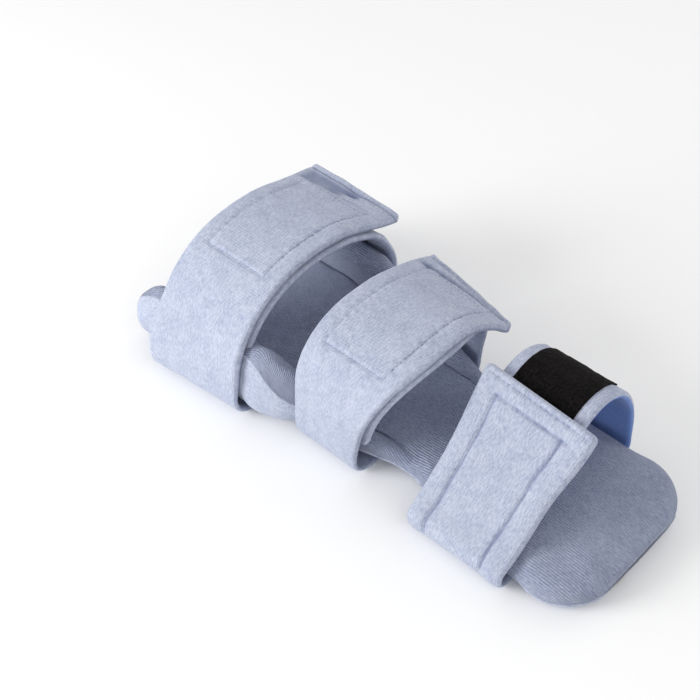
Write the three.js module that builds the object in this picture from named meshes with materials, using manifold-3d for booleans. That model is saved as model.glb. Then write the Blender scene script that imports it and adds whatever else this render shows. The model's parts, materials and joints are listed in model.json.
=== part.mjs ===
// Resting splint for a wrist and hand: a padded trough for the forearm, a padded pan for the hand,
// a bendable metal strip that joins their two core plates at the wrist, and three wide padded straps.
// Millimetres. X runs from the elbow end to the fingertips, Y from the thumb side to the little-finger
// side, Z up. Each strap is a base sewn under the splint, a near flap that opens on the thumb side and
// a far flap under it, held together by a hook patch and a pile patch.
import * as THREE from 'three';
import Module from 'manifold-3d';
import { mergeVertices } from 'three/addons/utils/BufferGeometryUtils.js';

const wasm = await Module();
wasm.setup();

// ---- driving dimensions ----
const HEEL_X = -178; // elbow end of the trough
const TIP_X = 178; // fingertip end of the pan
const GAP = 0.3; // clearance between pieces that touch
const FABRIC = 1.6; // knit laminated on thin foam
const BASE = 3; // strap base, flat on the table
const FLOOR_Z = BASE + GAP; // underside of the cover

// the trough's stations along X: half width at the foot of the wall and rim height, on each side;
// the padding bulges between the forearm strap and the wrist strap
const TROUGH = [
  { x: HEEL_X, near: 73, far: 71, nearRim: 53, farRim: 53 },
  { x: -100, near: 73.5, far: 71, nearRim: 55, farRim: 55 },
  { x: -71, near: 73.5, far: 70, nearRim: 56, farRim: 56 },
  { x: -64, near: 75.5, far: 68, nearRim: 61, farRim: 56 },
  { x: -46, near: 69, far: 60, nearRim: 51, farRim: 49 },
  { x: -34.5, near: 58.5, far: 54, nearRim: 43, farRim: 44 },
  { x: 0, near: 56, far: 53, nearRim: 31, farRim: 32 },
  { x: 30, near: 47, far: 47, nearRim: 22, farRim: 22 },
];
const TROUGH_END_X = 30;
const TROUGH_CORNER = 16; // radius between floor and wall
const LEAN = THREE.MathUtils.degToRad(12); // the walls lean inwards by this much
const WALL = 14; // thickness of the padded wall
const RIM_ROOM = 3; // the wrist strap's far flap is trimmed this far above the wall's rim
const PLATE = 2; // core plate
const PLATE_GAP = 1.3; // core plate lies loose in the cover
const SEAM_AT = 0.8; // where cover meets liner, as a share of the way from keel to rim
const SEAM_ROOM = 0.008; // the cover's edge stays this share short of the liner's
const CORE_AT = 0.93; // how far the foam reaches
const CORE_ROOM = 0.012; // and the pocket that holds it, past the foam's edge
const FOAM_INSET = 2; // from the trough's elbow end
const TROUGH_FOLDS = 14; // facets from keel to rim
const PLATE_AT = 0.74; // how far the core plate reaches
const PLATE_INSET = 6; // from the trough's ends

// the wrist section and the pan
const WRIST_X = 42; // bend axis
const WRIST_Z = 9.6; // middle of the metal strip
const NECK = 46; // half width at the wrist
const PAN = 62; // half width under the fingertips
const PAN_STRAPPED = 58; // half width on the thumb side where the strap wraps round
const PAN_START_X = 54;
const PAN_TOP_Z = 22.3;
const PAN_SEAM_Z = 12;
const PAN_CORNER = 34;
const PAN_EDGE = 8; // rounding of the pan's rim
const MOUTH = 12; // how deep the pan's lining opens towards the wrist
const PLATE_EDGE = { inset: 14, rounding: 0.5 }; // the core plate inside the pan
const TIP_TAB = { centre: -24, wide: 16, from: 22, to: 1, thick: 1.4 }; // from, to: back from the tip

// the metal strip and its rivets
const STRIP = { from: -20, to: 104, wide: 25, thick: 2 };
const RIVETS = { forearm_rivet_1: -10, forearm_rivet_2: 14, hand_rivet_1: 68, hand_rivet_2: 94 };
const RIVET = { shank: 2, head: 4, headHigh: 1.2 };

// straps: `crown` is the top of the loop, `spring` where the arch starts, `root` the height of the hinge
const NEAR_FLAP = 4.5;
const FAR_FLAP = 4;
const PATCH = 1.1;
const LAYER_GAP = 3.2; // room for the two patches between the flaps
const PATCH_INSET = 12.5;
const WIDENS_BY = 0.55; // the share of a strap's run over which it reaches its full width
const HINGE_GAP = 1.8; // where a flap meets its base
const FOREARM_STRAP = {
  from: -145.5, to: -71.5, rootFrom: -145.5, rootTo: -71.5,
  near: -79.5, far: 76, root: 18,
  crown: { y: 2.2, z: 96.5 }, spring: 18, squareness: 2.2,
  wing: [[38, 91.5], [55, 87.6], [71, 84.6]],
  farBottom: 64, farLeaves: 38, shoulder: [[53, 75.5], [66, 61], [74, 43]],
  patch: [0.5, 0.84], pile: [0.1, 0.56],
};
const WRIST_STRAP = {
  from: -34, to: 40, rootFrom: -34, rootTo: 16,
  near: -63.8, far: 59, root: 15.5,
  crown: { y: -5.8, z: 92.3 }, spring: 41.5, squareness: 2.4,
  wing: [[22, 87.6], [40, 79.6], [58, 68.6]],
  farBottom: 25, farLeaves: 21, shoulder: [[37, 73], [50, 60], [57.5, 43], [59, 28]],
  patch: [0.5, 0.82], pile: [0.2, 0.6],
};
const HAND_STRAP = { from: 62.5, to: 136.5, farFrom: 65, farTo: 134, near: -70.2, far: 69, root: 12 };
const HAND_NEAR = [[-70.2, 12], [-69.9, 16.5], [-66, 21], [-56, 28.5], [-30, 52.8], [2, 84.8]];
const HAND_FAR = [
  [-41, 30.5], [-20, 51.5], [2, 72], [14, 79.6], [32, 82.5],
  [50, 79], [62, 69], [68, 52], [69, 32], [69, 12],
];
const HAND_PATCH = [0.2, 0.92];
const HAND_PILE = [0.12, 0.66];

// ---- materials ----
/** A matte, non-metal finish. */
function cloth(color, roughness = 0.95) {
  return new THREE.MeshStandardMaterial({ color, roughness, metalness: 0 });
}
const HEATHER = cloth(0xc3cde4);
const RIB_KNIT = cloth(0xa9b8d6);
const LINING = cloth(0x7f9fd0);
const PILE = cloth(0x141314, 1);
const FOAM = cloth(0xe4e0d2, 0.9);
const PLASTIC = new THREE.MeshStandardMaterial({ color: 0xd9dad6, roughness: 0.5, metalness: 0 });
const METAL = new THREE.MeshStandardMaterial({ color: 0xb4b7bb, roughness: 0.35, metalness: 1 });

const object = new THREE.Group();

/** Adds one named sub-part. */
function piece(name, geometry, material) {
  const mesh = new THREE.Mesh(geometry, material);
  mesh.name = name;
  object.add(mesh);
}

// ---- geometry helpers ----

/** Shares a geometry's corners and turns its faces outwards. */
function closed(geometry) {
  const bare = geometry.clone();
  bare.deleteAttribute('normal');
  bare.deleteAttribute('uv');
  const merged = mergeVertices(bare, 1e-4);
  const index = merged.index.array;
  const [a, b, c] = [new THREE.Vector3(), new THREE.Vector3(), new THREE.Vector3()];
  let volume = 0;
  for (let i = 0; i < index.length; i += 3) {
    a.fromBufferAttribute(merged.attributes.position, index[i]);
    b.fromBufferAttribute(merged.attributes.position, index[i + 1]);
    c.fromBufferAttribute(merged.attributes.position, index[i + 2]);
    volume += a.dot(b.cross(c));
  }
  if (volume < 0) {
    merged.setIndex(Array.from(index).reverse());
  }
  merged.computeVertexNormals();
  return merged;
}

/** A geometry as a solid that can be cut and joined. */
function solid(geometry) {
  const source = closed(geometry);
  const mesh = new wasm.Mesh({
    numProp: 3,
    vertProperties: new Float32Array(source.attributes.position.array),
    triVerts: new Uint32Array(source.index.array),
  });
  return new wasm.Manifold(mesh);
}

/** A cut or joined solid as a geometry again. */
function asGeometry(body) {
  const mesh = body.getMesh();
  const geometry = new THREE.BufferGeometry();
  geometry.setAttribute('position', new THREE.BufferAttribute(mesh.vertProperties, 3));
  geometry.setIndex(new THREE.BufferAttribute(mesh.triVerts, 1));
  return closed(geometry);
}

/** A box between two corners. */
function block(low, high) {
  const size = high.map((value, axis) => value - low[axis]);
  const centre = high.map((value, axis) => (value + low[axis]) / 2);
  return new THREE.BoxGeometry(...size).translate(...centre);
}

/** Evenly spaced values from low to high, both included. */
function steps(low, high, count) {
  return Array.from({ length: count + 1 }, (_, i) => low + ((high - low) * i) / count);
}

/** A box cut at the values `us` and `vs`, then bent: each corner moves to place(u, depth, v). */
function bent(us, vs, place) {
  const [along, across] = [us.length - 1, vs.length - 1];
  const geometry = new THREE.BoxGeometry(along, 1, across, along, 1, across);
  const position = geometry.attributes.position;
  for (let i = 0; i < position.count; i += 1) {
    const u = us[Math.round(position.getX(i) + along / 2)];
    const v = vs[Math.round(position.getZ(i) + across / 2)];
    position.setXYZ(i, ...place(u, position.getY(i) + 0.5, v));
  }
  return closed(geometry);
}

// ---- the trough ----

/** The trough's widths and rim heights at x, eased between the stations. */
function troughAt(x) {
  const next = 1 + TROUGH.slice(1, -1).filter((station) => station.x < x - 1e-6).length;
  const [a, b] = [TROUGH[next - 1], TROUGH[next]];
  const share = (x - a.x) / (b.x - a.x);
  const mix = (key) => THREE.MathUtils.lerp(a[key], b[key], share);
  return { near: mix('near'), far: mix('far'), nearRim: mix('nearRim'), farRim: mix('farRim') };
}

/**
 * A point of the trough: s runs from -1 at the near rim over 0 at the keel to 1 at the far rim, and
 * depth is inwards. Each side is a flat floor, a round corner and a straight wall that leans inwards.
 */
function troughPoint(x, s, depth) {
  const at = troughAt(x);
  const [half, rim] = s < 0 ? [at.near, at.nearRim] : [at.far, at.farRim];
  const bend = Math.PI / 2 + LEAN;
  const cornerHigh = TROUGH_CORNER * (1 - Math.cos(bend));
  const wall = (rim - FLOOR_Z - cornerHigh) / Math.cos(LEAN);
  const flat = half - TROUGH_CORNER;
  const arc = TROUGH_CORNER * bend;
  const run = Math.abs(s) * (flat + arc + wall);
  const turn = THREE.MathUtils.clamp((run - flat) / TROUGH_CORNER, 0, bend);
  const up = Math.max(0, run - flat - arc);
  const reach = (TROUGH_CORNER - depth) * Math.sin(turn) - up * Math.sin(LEAN);
  const rise = TROUGH_CORNER - (TROUGH_CORNER - depth) * Math.cos(turn) + up * Math.cos(LEAN);
  return [x, Math.sign(s) * (Math.min(run, flat) + reach), FLOOR_Z + rise];
}

/** Both ends of a range with the grid's values between them, so that every layer bends at the same places. */
function between(low, high, grid) {
  return [low, ...grid.filter((value) => value > low + 1e-6 && value < high - 1e-6), high];
}

/** A layer of the trough from s = -reach to reach, between two depths and two stations. */
function troughLayer(reach, outer, inner, from = HEEL_X, to = TROUGH_END_X) {
  const folds = steps(-1, 1, 2 * TROUGH_FOLDS);
  const across = between(-reach, reach, folds);
  const middle = TROUGH.slice(1, -1).map(({ x }) => x);
  const along = between(from, to, [HEEL_X + PLATE_INSET, ...middle, TROUGH_END_X - PLATE_INSET]);
  const place = (s, depth, x) => troughPoint(x, s, THREE.MathUtils.lerp(outer, inner, depth));
  return bent(across, along, place);
}

function forearmCover() {
  piece('forearm_cover', troughLayer(SEAM_AT, 0, FABRIC), HEATHER);
}

function forearmLiner() {
  const whole = solid(troughLayer(1, 0, WALL));
  const past = TROUGH_END_X + 1;
  const pocket = solid(troughLayer(CORE_AT + CORE_ROOM, FABRIC, WALL - FABRIC, HEEL_X + FABRIC, past));
  const cover = solid(troughLayer(SEAM_AT + SEAM_ROOM, -1, 2 * FABRIC, HEEL_X - 1, past));
  piece('forearm_liner', asGeometry(whole.subtract(pocket).subtract(cover)), RIB_KNIT);
}

/** The channel in a foam pad that the metal strip and the rivet heads lie in. */
function stripChannel() {
  const half = STRIP.wide / 2 + 1;
  const low = [STRIP.from - 1, -half, FLOOR_Z];
  const high = [STRIP.to + 1, half, WRIST_Z + STRIP.thick / 2 + RIVET.headHigh + 2 * GAP];
  return solid(block(low, high));
}

function forearmFoam() {
  const outer = FABRIC + PLATE + 2 * PLATE_GAP;
  const inner = WALL - FABRIC - GAP;
  const pad = solid(troughLayer(CORE_AT, outer, inner, HEEL_X + FOAM_INSET, TROUGH_END_X));
  piece('forearm_foam', asGeometry(pad.subtract(stripChannel())), FOAM);
}

/** Holes for the rivets in the plates and the strip. */
function rivetHoles() {
  const shafts = Object.values(RIVETS).map((x) => {
    const shaft = new THREE.CylinderGeometry(RIVET.shank + GAP, RIVET.shank + GAP, 20, 12);
    return solid(shaft.rotateX(Math.PI / 2).translate(x, 0, WRIST_Z));
  });
  return shafts.reduce((all, shaft) => all.add(shaft));
}

function forearmPlate(holes) {
  const outer = FABRIC + PLATE_GAP;
  const [from, to] = [HEEL_X + PLATE_INSET, TROUGH_END_X - PLATE_INSET];
  const plate = solid(troughLayer(PLATE_AT, outer, outer + PLATE, from, to));
  piece('forearm_plate', asGeometry(plate.subtract(holes)), PLASTIC);
}

// ---- the metal strip and its rivets ----

function wristStrip(holes) {
  const half = STRIP.wide / 2;
  const low = [STRIP.from, -half, WRIST_Z - STRIP.thick / 2];
  const high = [STRIP.to, half, WRIST_Z + STRIP.thick / 2];
  piece('wrist_strip', asGeometry(solid(block(low, high)).subtract(holes)), METAL);
}

/** A rivet: flush in the plate below, with a low domed head on the strip. */
function rivet(name, x) {
  const foot = FLOOR_Z + FABRIC + PLATE_GAP;
  const seat = WRIST_Z + STRIP.thick / 2 + GAP;
  const dome = seat + RIVET.headHigh;
  const profile = [[0, foot], [RIVET.shank, foot], [RIVET.shank, seat], [RIVET.head, seat],
    [RIVET.head * 0.7, seat + RIVET.headHigh * 0.7], [0, dome]];
  const turned = new THREE.LatheGeometry(profile.map(([r, z]) => new THREE.Vector2(r, z)), 12);
  piece(name, closed(turned.rotateX(Math.PI / 2).translate(x, 0, 0)), METAL);
}

// ---- the wrist section ----

const WRIST_FROM_X = TROUGH_END_X + GAP;
const WRIST_TO_X = PAN_START_X - GAP;

function wristSleeve() {
  const outer = solid(block([WRIST_FROM_X, -NECK, FLOOR_Z], [WRIST_TO_X, NECK, PAN_TOP_Z]));
  const low = [WRIST_FROM_X - 1, -NECK + FABRIC, FLOOR_Z + FABRIC];
  const inner = solid(block(low, [WRIST_TO_X + 1, NECK - FABRIC, PAN_TOP_Z - FABRIC]));
  piece('wrist_sleeve', asGeometry(outer.subtract(inner)), RIB_KNIT);
}

function wristFoam() {
  const inset = FABRIC + GAP;
  const low = [WRIST_FROM_X, -NECK + inset, FLOOR_Z + inset];
  const pad = solid(block(low, [WRIST_TO_X, NECK - inset, PAN_TOP_Z - inset]));
  const channelTop = WRIST_Z + STRIP.thick / 2 + GAP;
  const half = STRIP.wide / 2 + GAP;
  const channel = solid(block([WRIST_FROM_X - 1, -half, 0], [WRIST_TO_X + 1, half, channelTop]));
  piece('wrist_foam', asGeometry(pad.subtract(channel)), FOAM);
}

// ---- the pan ----

/** The pan's outline from above: a neck that widens to the fingers, with a broad rounded tip. */
function panOutline() {
  const outline = new THREE.Shape();
  const shoulder = PAN_START_X + 32;
  const square = TIP_X - PAN_CORNER;
  outline.moveTo(PAN_START_X, -NECK);
  outline.bezierCurveTo(PAN_START_X + 12, -NECK, shoulder - 14, -PAN_STRAPPED, shoulder, -PAN_STRAPPED);
  outline.lineTo(HAND_STRAP.to - 6, -PAN_STRAPPED);
  outline.lineTo(square, -PAN);
  outline.absarc(square, -PAN + PAN_CORNER, PAN_CORNER, -Math.PI / 2, 0);
  outline.absarc(square, PAN - PAN_CORNER, PAN_CORNER, 0, Math.PI / 2);
  outline.lineTo(shoulder, PAN);
  outline.bezierCurveTo(shoulder - 14, PAN, PAN_START_X + 12, NECK, PAN_START_X, NECK);
  return outline;
}

/** A slab of the pan's outline shrunk by `inset`, with a rounded rim. */
function panSlab(inset, lowZ, highZ, edge = PAN_EDGE) {
  const slab = new THREE.ExtrudeGeometry(panOutline(), {
    depth: highZ - lowZ - 2 * edge,
    curveSegments: 6,
    bevelThickness: edge,
    bevelSize: edge,
    bevelOffset: -edge - inset,
    bevelSegments: edge > 3 ? 3 : 1,
  });
  return solid(slab.translate(0, 0, lowZ + edge));
}

/** Everything below or above the pan's seam. */
function seamHalf(fromZ, toZ) {
  return solid(block([PAN_START_X - 20, -PAN - 20, fromZ], [TIP_X + 20, PAN + 20, toZ]));
}

function panShells() {
  const outer = panSlab(0, FLOOR_Z, PAN_TOP_Z);
  const inner = panSlab(FABRIC, FLOOR_Z + FABRIC, PAN_TOP_Z - FABRIC, PAN_EDGE - 1);
  const mouthHalf = NECK - PAN_EDGE - FABRIC;
  const mouthLow = [PAN_START_X - 1, -mouthHalf, FLOOR_Z + FABRIC];
  const mouth = solid(block(mouthLow, [PAN_START_X + MOUTH, mouthHalf, PAN_TOP_Z - FABRIC]));
  const shell = outer.subtract(inner).subtract(mouth);
  const seam = PAN_SEAM_Z;
  piece('hand_cover', asGeometry(shell.intersect(seamHalf(0, seam))), HEATHER);
  piece('hand_liner', asGeometry(shell.intersect(seamHalf(seam + GAP, PAN_TOP_Z + 1))), RIB_KNIT);
}

function handFoam() {
  const inset = FABRIC + 3 * GAP;
  const pad = panSlab(inset, FLOOR_Z + FABRIC + PLATE + PLATE_GAP + GAP, PAN_TOP_Z - inset, PAN_EDGE - 2);
  piece('hand_foam', asGeometry(pad.subtract(stripChannel())), FOAM);
}

function handPlate(holes) {
  const low = FLOOR_Z + FABRIC + PLATE_GAP;
  const plate = panSlab(PLATE_EDGE.inset, low, low + PLATE, PLATE_EDGE.rounding);
  piece('hand_plate', asGeometry(plate.subtract(holes)), PLASTIC);
}

/** The short black end of the closure that shows under the tip. */
function tipTab() {
  const top = FLOOR_Z - GAP;
  const half = TIP_TAB.wide / 2;
  const low = [TIP_X - TIP_TAB.from, TIP_TAB.centre - half, top - TIP_TAB.thick];
  piece('tip_tab', block(low, [TIP_X - TIP_TAB.to, TIP_TAB.centre + half, top]), PILE);
}

// ---- straps ----

/** A point of the near flap's arch: a superellipse from the near spring (0 degrees) over the crown (90). */
function archPoint(strap, degrees) {
  const angle = THREE.MathUtils.degToRad(degrees);
  const power = 2 / strap.squareness;
  const out = (strap.crown.y - strap.near) * Math.abs(Math.cos(angle)) ** power;
  const y = strap.crown.y - Math.sign(Math.cos(angle)) * out;
  return new THREE.Vector2(y, strap.spring + (strap.crown.z - strap.spring) * Math.sin(angle) ** power);
}

/** Evenly spaced stations on a smooth line through the points, each with the normal on its left. */
function stations(points, count) {
  const spaced = new THREE.SplineCurve(points).getSpacedPoints(count);
  return withNormals(spaced);
}

function withNormals(points) {
  return points.map((point, i) => {
    const ahead = points[Math.min(i + 1, points.length - 1)];
    const behind = points[Math.max(i - 1, 0)];
    const along = ahead.clone().sub(behind).normalize();
    return { point, normal: new THREE.Vector2(-along.y, along.x) };
  });
}

/** A band that follows the stations, between two heights above them; edges(u) gives its two edges in X. */
function band(line, above, below, edges) {
  const last = line.length - 1;
  return bent([...line.keys()], [0, 1], (index, depth, v) => {
    const { point, normal } = line[index];
    const height = THREE.MathUtils.lerp(above, below, depth);
    const [from, to] = edges(index / last);
    return [THREE.MathUtils.lerp(from, to, v), point.x + normal.x * height, point.y + normal.y * height];
  });
}

/** Part of a line of stations, given as shares of its run. */
function stretch(line, [start, end]) {
  const last = line.length - 1;
  return line.slice(Math.round(start * last), Math.round(end * last) + 1);
}

/** The strap's base: from the far hinge down, flat under the splint and up to the near hinge. */
function strapBase(name, strap, edges) {
  const radius = strap.root;
  const corner = (centreY, from, to) => steps(from, to, 5).map((degrees) => {
    const angle = THREE.MathUtils.degToRad(degrees);
    return new THREE.Vector2(centreY + radius * Math.cos(angle), radius + radius * Math.sin(angle));
  });
  const far = corner(strap.far - radius, 0, -90);
  const near = corner(strap.near + radius, -90, -180);
  piece(`${name}_strap_base`, band(withNormals([...far, ...near]), 0, -BASE, edges), HEATHER);
}

/** A patch's edges: the flap's own, drawn in by the inset. */
function inset([from, to]) {
  return () => [from + PATCH_INSET, to - PATCH_INSET];
}

/** The room that the near wall's rim needs, with a little over, as a solid that trims the far flap. */
function rimRoom() {
  const stationXs = TROUGH.map(({ x }) => x);
  const side = (x, v) => -troughAt(x).near + (v === 0 ? -WALL : 2 * WALL);
  return solid(bent(stationXs, [0, 1], (x, depth, v) => [
    x, side(x, v), depth * (troughAt(x).nearRim + RIM_ROOM),
  ]));
}

/** Both flaps of a strap with their patches; each `line` is the flap's outer surface. */
function strapFlaps(name, near, far) {
  const hooksTop = -NEAR_FLAP - GAP;
  piece(`${name}_near_flap`, band(near.line, 0, -NEAR_FLAP, near.edges), HEATHER);
  const hooks = band(stretch(near.line, near.patch), hooksTop, hooksTop - PATCH, inset(near.edges(1)));
  piece(`${name}_hook_patch`, hooks, PILE);
  const farFlap = solid(band(far.line, 0, -FAR_FLAP, far.edges)).subtract(rimRoom());
  piece(`${name}_far_flap`, asGeometry(farFlap), LINING);
  const pile = band(stretch(far.line, far.patch), GAP + PATCH, GAP, inset(far.edges(0)));
  piece(`${name}_pile_patch`, pile, PILE);
}

/** A strap that goes round in an arch, widening from its root to the crown. */
function archedStrap(name, strap) {
  const edges = (u) => {
    const share = THREE.MathUtils.smoothstep(u, 0, WIDENS_BY);
    return [
      THREE.MathUtils.lerp(strap.rootFrom, strap.from, share),
      THREE.MathUtils.lerp(strap.rootTo, strap.to, share),
    ];
  };
  const shrink = NEAR_FLAP + LAYER_GAP;
  const nearPoints = [
    ...steps(0, 100, 8).map((angle) => archPoint(strap, angle)),
    ...strap.wing.map(([y, z]) => new THREE.Vector2(y, z)),
  ];
  if (strap.spring > strap.root) {
    nearPoints.unshift(new THREE.Vector2(strap.near, strap.root));
  }
  nearPoints[0].y = strap.root + HINGE_GAP;
  const nearLine = stations(nearPoints, 28);
  const shared = nearLine.filter(({ point }) => point.x < strap.farLeaves && point.y > strap.farBottom);
  const farPoints = [
    ...shared.map(({ point, normal }) => point.clone().addScaledVector(normal, -shrink)),
    ...[...strap.shoulder, [strap.far, strap.root + HINGE_GAP]].map(([y, z]) => new THREE.Vector2(y, z)),
  ];
  const farEdges = (u) => edges(1 - u);
  strapBase(name, strap, () => edges(0));
  strapFlaps(
    name,
    { line: nearLine, edges, patch: strap.patch },
    { line: stations(farPoints, 28), edges: farEdges, patch: strap.pile },
  );
}

/** The strap over the fingers: a flat near flap leaning across the hand, and a far flap folded over it. */
function handStrap() {
  const edges = () => [HAND_STRAP.from, HAND_STRAP.to];
  const line = (points, count) => {
    const corners = points.map(([y, z]) => new THREE.Vector2(y, z));
    corners[0].y += points === HAND_NEAR ? HINGE_GAP : 0;
    corners[corners.length - 1].y += points === HAND_FAR ? HINGE_GAP : 0;
    return stations(corners, count);
  };
  strapBase('hand', HAND_STRAP, edges);
  strapFlaps(
    'hand',
    { line: line(HAND_NEAR, 18), edges, patch: HAND_PATCH },
    { line: line(HAND_FAR, 28), edges: () => [HAND_STRAP.farFrom, HAND_STRAP.farTo], patch: HAND_PILE },
  );
}

// ---- assembly ----

const holes = rivetHoles();
forearmCover();
forearmLiner();
forearmFoam();
forearmPlate(holes);
wristStrip(holes);
Object.entries(RIVETS).forEach(([name, x]) => rivet(name, x));
wristSleeve();
wristFoam();
panShells();
handFoam();
handPlate(holes);
tipTab();
archedStrap('forearm', FOREARM_STRAP);
archedStrap('wrist', WRIST_STRAP);
handStrap();

// the origin is the middle of the bounding box's underside
const box = new THREE.Box3().setFromObject(object);
object.position.set(-(box.min.x + box.max.x) / 2, -(box.min.y + box.max.y) / 2, -box.min.z);

const splint = new THREE.Group();
splint.add(object);

export default splint;
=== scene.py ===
# %% [markdown]
# # A padded resting splint for the wrist and hand
# The splint is a padded trough for the forearm, a padded pan for the hand and three wide straps.
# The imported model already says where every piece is. This notebook builds the fabric around it:
# each surface is a formula worked out on a grid with numpy, in millimetres, and put into a mesh.

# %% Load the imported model
import json
import math
import bmesh
import bpy
import numpy as np
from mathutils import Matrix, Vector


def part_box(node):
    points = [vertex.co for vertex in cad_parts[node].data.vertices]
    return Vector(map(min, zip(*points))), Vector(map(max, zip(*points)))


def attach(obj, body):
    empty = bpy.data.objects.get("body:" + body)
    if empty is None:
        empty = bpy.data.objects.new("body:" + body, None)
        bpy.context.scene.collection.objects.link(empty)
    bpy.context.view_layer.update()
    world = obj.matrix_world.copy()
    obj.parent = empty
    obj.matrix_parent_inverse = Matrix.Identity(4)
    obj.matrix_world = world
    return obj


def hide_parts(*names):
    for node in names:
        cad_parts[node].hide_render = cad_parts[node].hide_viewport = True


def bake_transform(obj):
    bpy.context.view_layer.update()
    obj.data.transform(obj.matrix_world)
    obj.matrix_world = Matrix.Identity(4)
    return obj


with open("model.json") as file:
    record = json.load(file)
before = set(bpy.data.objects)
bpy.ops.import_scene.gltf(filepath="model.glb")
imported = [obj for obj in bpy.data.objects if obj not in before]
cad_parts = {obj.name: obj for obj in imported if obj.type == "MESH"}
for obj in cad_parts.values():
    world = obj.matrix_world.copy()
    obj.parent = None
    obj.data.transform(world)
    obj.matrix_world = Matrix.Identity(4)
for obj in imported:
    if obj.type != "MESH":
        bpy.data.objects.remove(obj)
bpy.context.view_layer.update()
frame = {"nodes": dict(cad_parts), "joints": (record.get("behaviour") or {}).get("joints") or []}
MM = 0.001


def box_mm(node):
    """A node's lowest and highest corner, in millimetres."""
    low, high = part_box(node)
    return np.array(low) / MM, np.array(high) / MM


pan_low, pan_high = box_mm("hand_cover")
trough_low = box_mm("forearm_cover")[0]
MIDDLE = (pan_low[1] + pan_high[1]) / 2
HEEL, TIP = trough_low[0], pan_high[0]
FLOOR = trough_low[2]
print("nodes", len(frame["nodes"]), "middle", MIDDLE, "heel", HEEL, "tip", TIP)

# %% [markdown]
# ## The camera, the light and the table
# The camera looks down on the thumb side of the fingertips from 44 degrees above the table.
# A long lens from 0.8 m keeps the near and far ends close to their true proportions.

# %% Camera
AZIMUTH, ELEVATION = math.radians(43.2), math.radians(43.9)
DISTANCE = 0.7922
TARGET = np.array([-0.0466, 0.0016, 0.0247])
scene = bpy.context.scene
toward = np.array([
    math.sin(AZIMUTH) * math.cos(ELEVATION),
    -math.cos(AZIMUTH) * math.cos(ELEVATION),
    math.sin(ELEVATION),
])
camera_data = bpy.data.cameras.new("camera")
camera_data.lens = 63.07
camera_data.sensor_width = 36
camera_data.clip_start = 0.05
camera = bpy.data.objects.new("camera", camera_data)
camera.location = TARGET + DISTANCE * toward
camera.rotation_euler = (math.pi / 2 - ELEVATION, 0, AZIMUTH)
scene.collection.objects.link(camera)
scene.camera = camera
scene.view_settings.view_transform = "Standard"
print("camera at", camera.location[:])


# %% Lights
def softbox(name, place, size, watts):
    """A square area light that faces the middle of the splint."""
    data = bpy.data.lights.new(name, "AREA")
    data.size = size
    data.energy = watts
    lamp = bpy.data.objects.new(name, data)
    lamp.location = place
    aim = -lamp.location.normalized()
    lamp.rotation_euler = aim.to_track_quat("-Z", "Y").to_euler()
    scene.collection.objects.link(lamp)


softbox("key", (-0.7, -1.15, 0.55), 0.7, 15)
softbox("fill", (1.1, -0.3, 1.1), 1.2, 3)
softbox("back", (0.1, 1.3, 1.0), 1.2, 3)
world = bpy.data.worlds.new("studio")
world.use_nodes = True
world.node_tree.nodes["Background"].inputs["Color"].default_value = (1, 1, 1, 1)
world.node_tree.nodes["Background"].inputs["Strength"].default_value = 0.66
scene.world = world


# %% [markdown]
# ## Putting a grid into a mesh
# A surface is a grid of points. Two grids, one above the other and joined at their borders, make a
# closed pad. The rows lie close together near the border, so that the rim comes out round. Pulling
# points by hand would give one shape once; a formula can be changed in one place and run again.

# %% Mesh helpers
def make_mesh(name, points, faces, cloth=None):
    """A mesh object from points in millimetres and faces of four corners; cloth is its flat pattern."""
    mesh = bpy.data.meshes.new(name)
    mesh.vertices.add(len(points))
    mesh.vertices.foreach_set("co", (points * MM).astype(np.float32).ravel())
    mesh.loops.add(faces.size)
    mesh.loops.foreach_set("vertex_index", faces.astype(np.int32).ravel())
    mesh.polygons.add(len(faces))
    mesh.polygons.foreach_set("loop_start", np.arange(0, faces.size, faces.shape[1], dtype=np.int32))
    mesh.update(calc_edges=True)
    if cloth is not None:
        layer = mesh.uv_layers.new(name="cloth")
        layer.data.foreach_set("uv", (cloth[faces.ravel()] * MM).astype(np.float32).ravel())
    mesh.shade_smooth()
    piece = bpy.data.objects.new(name, mesh)
    scene.collection.objects.link(piece)
    return piece


def rows(length, rim, spacing, fine=6):
    """Distances from 0 to length: a quarter turn's worth at each end, even steps between."""
    turn = rim * (1 - np.cos(np.linspace(0, np.pi / 2, fine + 1)))
    count = max(2, int(round((length - 2 * rim) / spacing)) + 1)
    middle = np.linspace(rim, length - rim, count)
    return np.concatenate([turn[:-1], middle, length - turn[-2::-1]])


def rim_height(distance, rim):
    """A quarter circle: 0 at the border and 1 from `rim` inwards."""
    inward = np.clip(distance / rim, 0, 1)
    return np.sqrt(np.clip(1 - (1 - inward) ** 2, 0, 1))


def round_corners(s, t, length, width, radius):
    """Draws the four corners of a rectangle in, so that the square at each corner becomes a disc."""
    a = np.clip(1 - np.minimum(s, length - s) / radius, 0, 1)
    b = np.clip(1 - np.minimum(t, width - t) / radius, 0, 1)
    pull_s = radius * (a - a * np.sqrt(1 - b * b / 2))
    pull_t = radius * (b - b * np.sqrt(1 - a * a / 2))
    s = s + np.where(s < length / 2, pull_s, -pull_s)
    t = t + np.where(t < width / 2, pull_t, -pull_t)
    return s, t


def pad_faces(down, across):
    """Corners of a closed pad's faces, and where the lower grid's points go: the borders are shared."""
    top = np.arange(down * across).reshape(down, across)
    under = top.copy()
    inner = np.arange((down - 2) * (across - 2)).reshape(down - 2, across - 2)
    under[1:-1, 1:-1] = inner + down * across

    def quads(grid):
        corners = [grid[:-1, :-1], grid[1:, :-1], grid[1:, 1:], grid[:-1, 1:]]
        return np.stack(corners, axis=-1).reshape(-1, 4)

    return quads(top), quads(under)[:, ::-1]


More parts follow.
